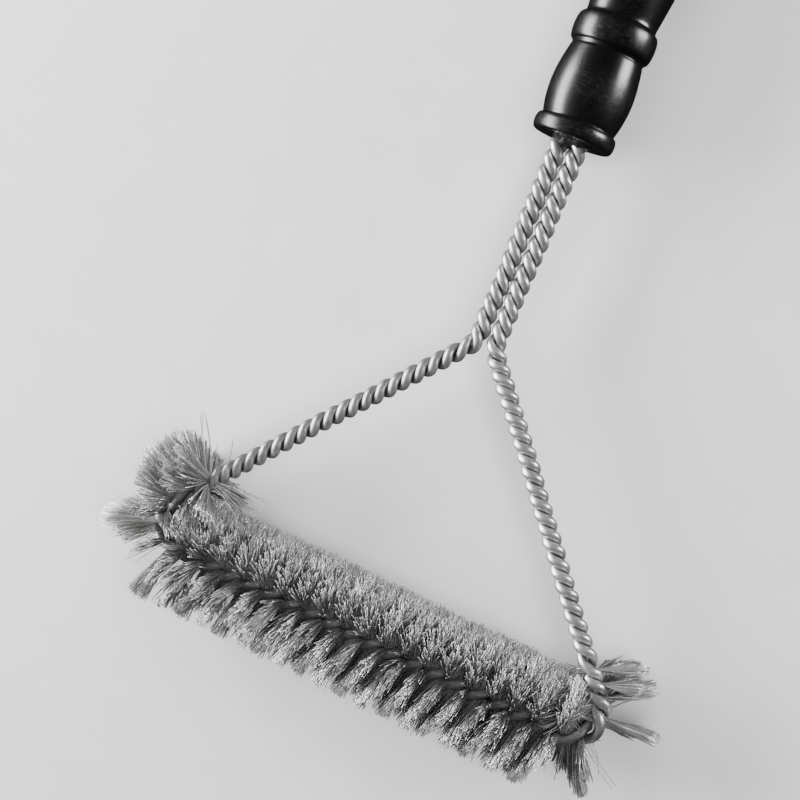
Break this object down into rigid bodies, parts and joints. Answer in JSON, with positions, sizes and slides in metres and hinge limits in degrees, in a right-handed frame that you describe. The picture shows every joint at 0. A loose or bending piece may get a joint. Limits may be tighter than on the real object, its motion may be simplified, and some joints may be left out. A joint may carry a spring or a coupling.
{
  "type": "grill cleaning brush",
  "caption": "Long-handled grill brush: a twisted wire stem bent into a closed triangle, with steel filaments along its far side, in a turned black wooden handle with a hanging ring.",
  "frame": {"origin": "on the handle's axis, at the middle of the straight band near the handle's tail", "axes": "+Y along the handle towards its tail, with the brush head on the -Y side; X along the bristle bar; +Z square to the flat triangle, towards the viewer of the front"},
  "size_m": [0.2248, 0.4562, 0.045],
  "materials": {
    "black_lacquer": "turned hardwood under glossy black lacquer, faint turning marks",
    "adhesive": "hard dark adhesive, lumpy, half gloss",
    "stem_wire": "galvanised steel wire, satin, drawn lengthwise streaks",
    "filaments": "fine bright-drawn steel filaments with bright cut tips",
    "ring_steel": "welded steel wire ring, satin"
  },
  "bodies": {
    "brush": {"handle": "black_lacquer", "adhesive_plug": "adhesive", "wire_strand_a": "stem_wire", "wire_strand_b": "stem_wire", "bristles_bar": "filaments", "bristles_left_corner": "filaments", "bristles_right_corner": "filaments", "bristles_left_leg": "filaments", "bristles_right_leg": "filaments"},
    "ring": {"hang_ring": "ring_steel"}
  },
  "joints": [
    {"name": "ring_swing", "type": "hinge", "parent": "brush", "child": "ring", "pos_m": [0, 0.0575, 0], "axis": [1, 0, 0], "range_deg": [-135, 135]}
  ]
}
